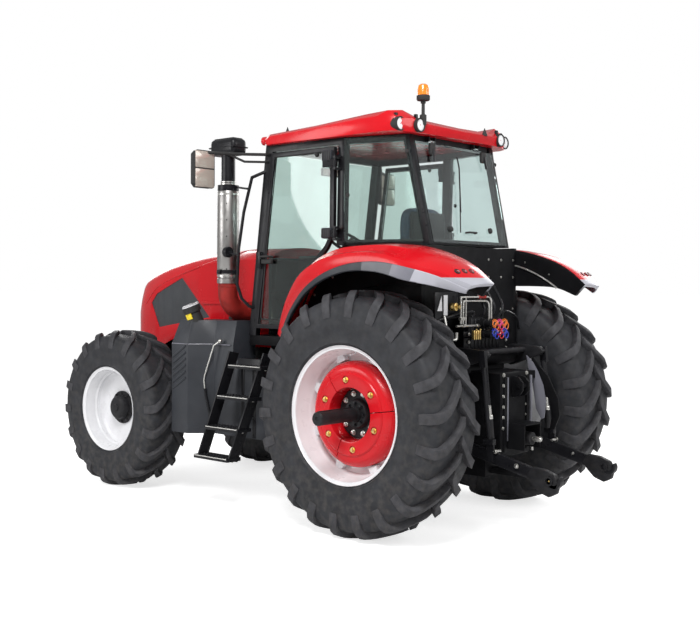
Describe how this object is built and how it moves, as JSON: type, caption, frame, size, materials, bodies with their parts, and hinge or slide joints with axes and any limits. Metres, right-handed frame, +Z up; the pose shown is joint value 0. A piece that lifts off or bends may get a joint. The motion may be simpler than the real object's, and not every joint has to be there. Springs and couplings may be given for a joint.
{
  "type": "farm tractor with cab",
  "caption": "Four-wheel-drive farm tractor with a glazed cab, tilting hood, opening doors, steered front wheels and a rear three-point hitch.",
  "frame": {"origin": "on the ground at the middle of the bounding box", "axes": "+Z up, the tractor faces -Y and its left side is +X"},
  "size_m": [2.95, 5.485, 3.37],
  "materials": {
    "red_paint": "gloss enamel",
    "white_paint": "satin enamel",
    "black_paint": "satin enamel",
    "cast_black": "painted castings",
    "grey_plastic": "moulded, fine grain",
    "black_plastic": "moulded",
    "tyre": "bar lug rubber",
    "glass": "green tinted safety glass",
    "steel": "heat shield",
    "seat_fabric": "woven seat cover",
    "mirror_black": "moulded shell"
  },
  "bodies": {
    "chassis": {"engine": "cast_black", "gearbox": "cast_black", "front_weights": "black_paint", "front_axle": "cast_black", "cab_base": "black_plastic", "cab_frame": "black_paint", "windscreen": "glass", "quarter_glass_left": "glass", "quarter_glass_right": "glass", "roof": "red_paint", "seat": "seat_fabric", "fender_left": "red_paint", "fender_right": "red_paint", "cowl": "red_paint", "fuel_tank": "grey_plastic", "toolbox": "grey_plastic", "steps_left": "black_paint", "steps_right": "black_paint", "exhaust": "steel", "mirror_left": "mirror_black", "mirror_right": "mirror_black"},
    "knuckle_l": {"knuckle_left": "cast_black"},
    "knuckle_r": {"knuckle_right": "cast_black"},
    "tie_rod_body": {"tie_rod": "black_paint"},
    "wheel_front_l": {"tyre_front_left": "tyre", "rim_front_left": "white_paint"},
    "wheel_front_r": {"tyre_front_right": "tyre", "rim_front_right": "white_paint"},
    "wheel_rear_l": {"tyre_rear_left": "tyre", "rim_rear_left": "white_paint", "wheel_weight_rear_left": "red_paint"},
    "wheel_rear_r": {"tyre_rear_right": "tyre", "rim_rear_right": "white_paint", "wheel_weight_rear_right": "red_paint"},
    "door_l": {"door_left": "black_paint", "door_glass_left": "glass"},
    "door_r": {"door_right": "black_paint", "door_glass_right": "glass"},
    "window_rear": {"rear_window": "glass"},
    "hood_body": {"hood": "red_paint", "hood_grille": "grey_plastic"},
    "steering": {"steering_wheel": "black_plastic"},
    "arms": {"lift_arms": "cast_black"},
    "rod_l": {"lift_rod_left": "black_paint"},
    "rod_r": {"lift_rod_right": "black_paint"},
    "link_l": {"lower_link_left": "black_paint"},
    "link_r": {"lower_link_right": "black_paint"}
  },
  "joints": [
    {"name": "steer_left", "type": "hinge", "parent": "chassis", "child": "knuckle_l", "pos_m": [0.66, -1.5525, 0.711], "axis": [0, 0, 1], "range_deg": [-35, 35]},
    {"name": "steer_right", "type": "hinge", "parent": "chassis", "child": "knuckle_r", "pos_m": [-0.66, -1.5525, 0.711], "axis": [0, 0, 1], "range_deg": [-35, 35]},
    {"name": "tie_rod_swing", "type": "hinge", "parent": "knuckle_l", "child": "tie_rod_body", "pos_m": [0.6, -1.3325, 0.6293], "axis": [0, 0, 1], "range_deg": [-35, 35]},
    {"name": "spin_front_left", "type": "hinge", "parent": "knuckle_l", "child": "wheel_front_l", "pos_m": [0.905, -1.5525, 0.711], "axis": [1, 0, 0], "continuous": true},
    {"name": "spin_front_right", "type": "hinge", "parent": "knuckle_r", "child": "wheel_front_r", "pos_m": [-0.905, -1.5525, 0.711], "axis": [1, 0, 0], "continuous": true},
    {"name": "spin_rear_left", "type": "hinge", "parent": "chassis", "child": "wheel_rear_l", "pos_m": [0.965, 1.4075, 0.907], "axis": [1, 0, 0], "continuous": true},
    {"name": "spin_rear_right", "type": "hinge", "parent": "chassis", "child": "wheel_rear_r", "pos_m": [-0.965, 1.4075, 0.907], "axis": [1, 0, 0], "continuous": true},
    {"name": "door_left_swing", "type": "hinge", "parent": "chassis", "child": "door_l", "pos_m": [0.778, 0.9375, 2.2], "axis": [0, 0, 1], "range_deg": [0, 65]},
    {"name": "door_right_swing", "type": "hinge", "parent": "chassis", "child": "door_r", "pos_m": [-0.778, 0.9375, 2.2], "axis": [0, 0, -1], "range_deg": [0, 65]},
    {"name": "rear_window_lift", "type": "hinge", "parent": "chassis", "child": "window_rear", "pos_m": [0, 1.51368, 2.955], "axis": [1, 0, 0], "range_deg": [0, 40]},
    {"name": "hood_tilt", "type": "hinge", "parent": "chassis", "child": "hood_body", "pos_m": [0, -0.5225, 2.12], "axis": [-1, 0, 0], "range_deg": [0, 55]},
    {"name": "steering_turn", "type": "hinge", "parent": "chassis", "child": "steering", "pos_m": [0, 0.3875, 2.215], "axis": [0, 0.5736, 0.8192], "continuous": true},
    {"name": "hitch_lift", "type": "hinge", "parent": "chassis", "child": "arms", "pos_m": [0, 1.8275, 1.3], "axis": [1, 0, 0], "range_deg": [-8, 35]},
    {"name": "rod_left_swing", "type": "hinge", "parent": "arms", "child": "rod_l", "pos_m": [0.41, 2.0875, 1.34], "axis": [1, 0, 0], "range_deg": [-32, 12]},
    {"name": "rod_right_swing", "type": "hinge", "parent": "arms", "child": "rod_r", "pos_m": [-0.41, 2.0875, 1.34], "axis": [1, 0, 0], "range_deg": [-32, 12]},
    {"name": "link_left_swing", "type": "hinge", "parent": "chassis", "child": "link_l", "pos_m": [0.4, 1.7375, 0.69], "axis": [1, 0, 0], "range_deg": [-6, 22]},
    {"name": "link_right_swing", "type": "hinge", "parent": "chassis", "child": "link_r", "pos_m": [-0.4, 1.7375, 0.69], "axis": [1, 0, 0], "range_deg": [-6, 22]}
  ],
  "couplings": [
    {"joint": "steer_right", "follows": "steer_left", "ratio": 1},
    {"joint": "tie_rod_swing", "follows": "steer_left", "ratio": -1},
    {"joint": "rod_left_swing", "follows": "hitch_lift", "ratio": -0.84},
    {"joint": "rod_right_swing", "follows": "hitch_lift", "ratio": -0.84},
    {"joint": "link_left_swing", "follows": "hitch_lift", "ratio": 0.585},
    {"joint": "link_right_swing", "follows": "hitch_lift", "ratio": 0.585}
  ]
}
